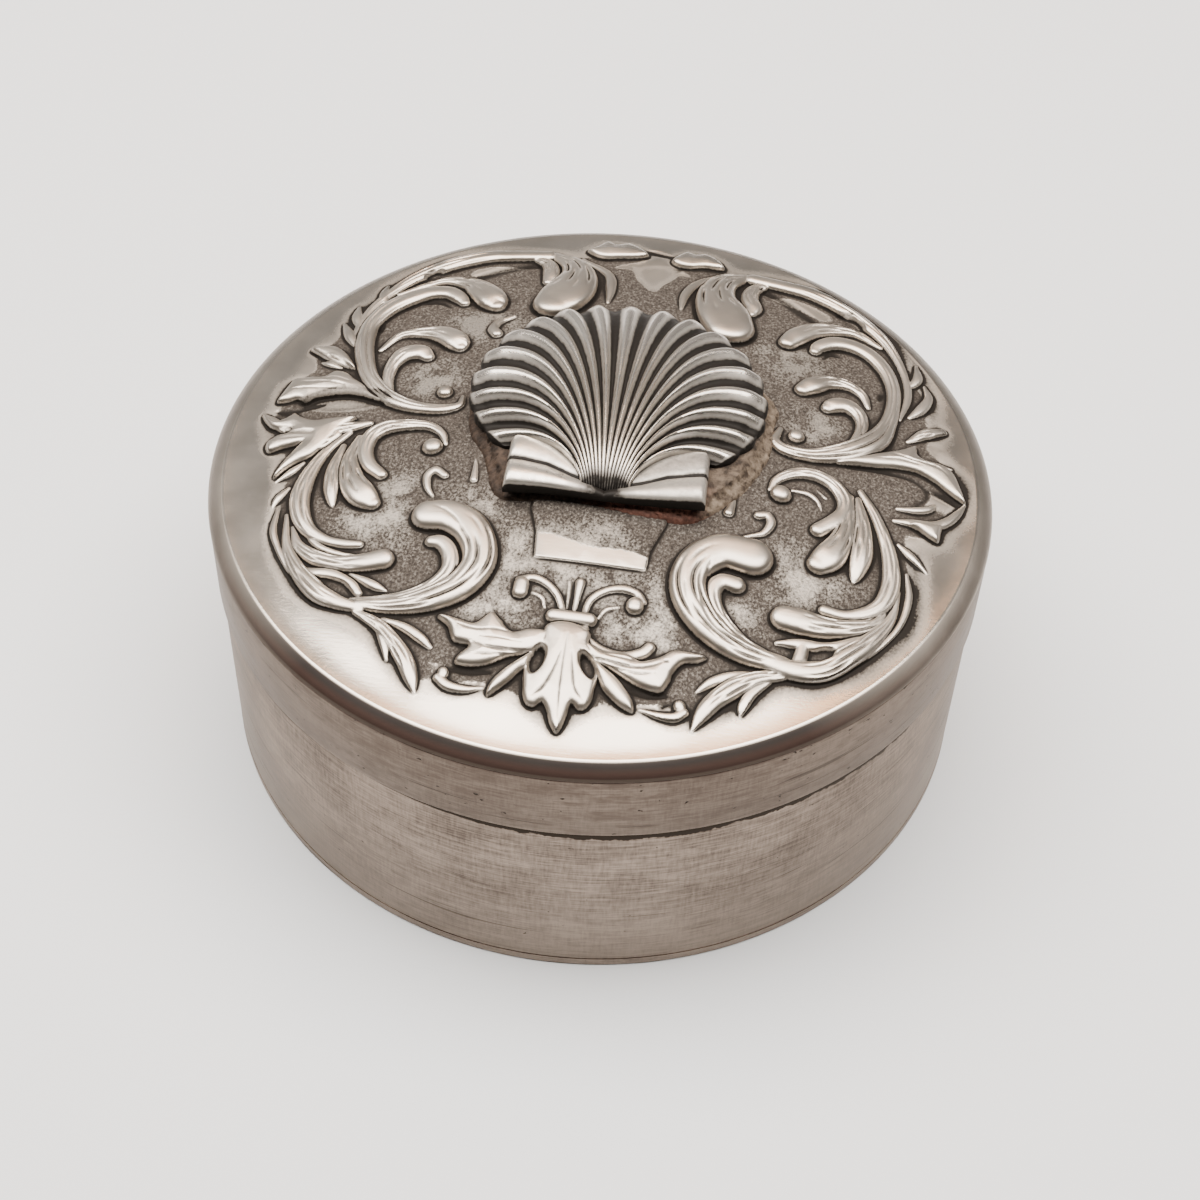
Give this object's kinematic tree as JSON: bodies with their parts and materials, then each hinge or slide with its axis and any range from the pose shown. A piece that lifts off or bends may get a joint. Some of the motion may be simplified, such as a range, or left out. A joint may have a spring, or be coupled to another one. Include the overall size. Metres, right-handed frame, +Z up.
{
  "type": "round trinket box",
  "caption": "Round silver box with a lift-off embossed lid, acanthus scroll ornament and an applied scallop shell.",
  "frame": {"origin": "centre of the base, on the surface the box stands on", "axes": "+Z up, along the way the lid lifts; -Y towards the palmette at the front of the lid, below the shell's hinge edge"},
  "size_m": [0.06, 0.06, 0.03],
  "materials": {
    "body_silver": "fine level brushed grain with a warm grey tarnish and small dark pits",
    "inner_silver": "plain satin silver",
    "embossed_silver": "rubbed bright on the crests and oxidised dark in the hollows",
    "bedding_cement": "dull reddish brown",
    "cast_silver": "polished cast silver with dark grooves"
  },
  "bodies": {
    "box": {"bottom_plate": "body_silver", "body_wall": "body_silver", "inner_collar": "inner_silver"},
    "lid": {"lid_skirt": "body_silver", "lid_plate": "embossed_silver", "shell_bond": "bedding_cement", "scallop_shell": "cast_silver"}
  },
  "joints": [
    {"name": "lid_lift", "type": "slide", "parent": "box", "child": "lid", "axis": [0, 0, 1], "range_m": [0, 0.03]}
  ]
}
